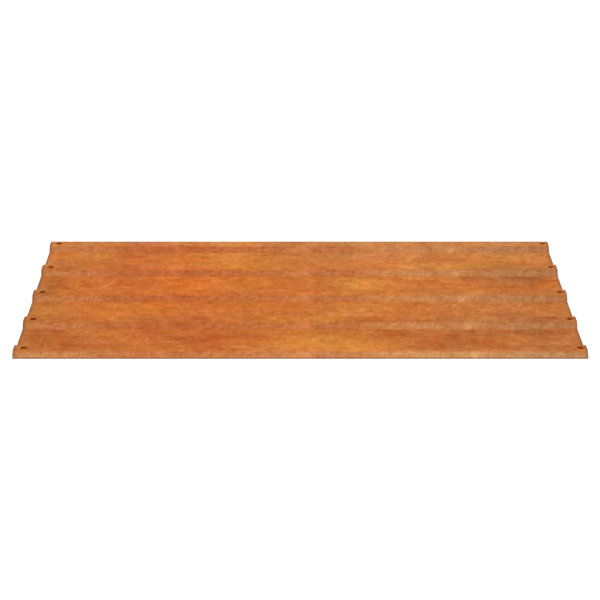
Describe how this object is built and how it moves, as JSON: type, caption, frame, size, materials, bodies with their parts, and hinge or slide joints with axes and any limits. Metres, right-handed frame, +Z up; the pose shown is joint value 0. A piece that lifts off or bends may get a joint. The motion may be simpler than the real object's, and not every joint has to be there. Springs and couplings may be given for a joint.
{
  "type": "corrugated metal sheet",
  "caption": "Rusted steel sheet roll-formed into trapezoidal ribs and wide flat pans, with screw holes in the rib tops near both ends; lies flat, for roofs and cladding.",
  "frame": {"origin": "middle of the sheet's length and width, on the plane of the pans' undersides", "axes": "+X along the ribs, +Y across the ribs, +Z up out of the rib tops"},
  "size_m": [0.6, 0.36, 0.0075],
  "materials": {
    "rusted_steel": "matt rust, streaked and mottled"
  },
  "bodies": {
    "root": {"corrugated_sheet": "rusted_steel"}
  },
  "joints": []
}
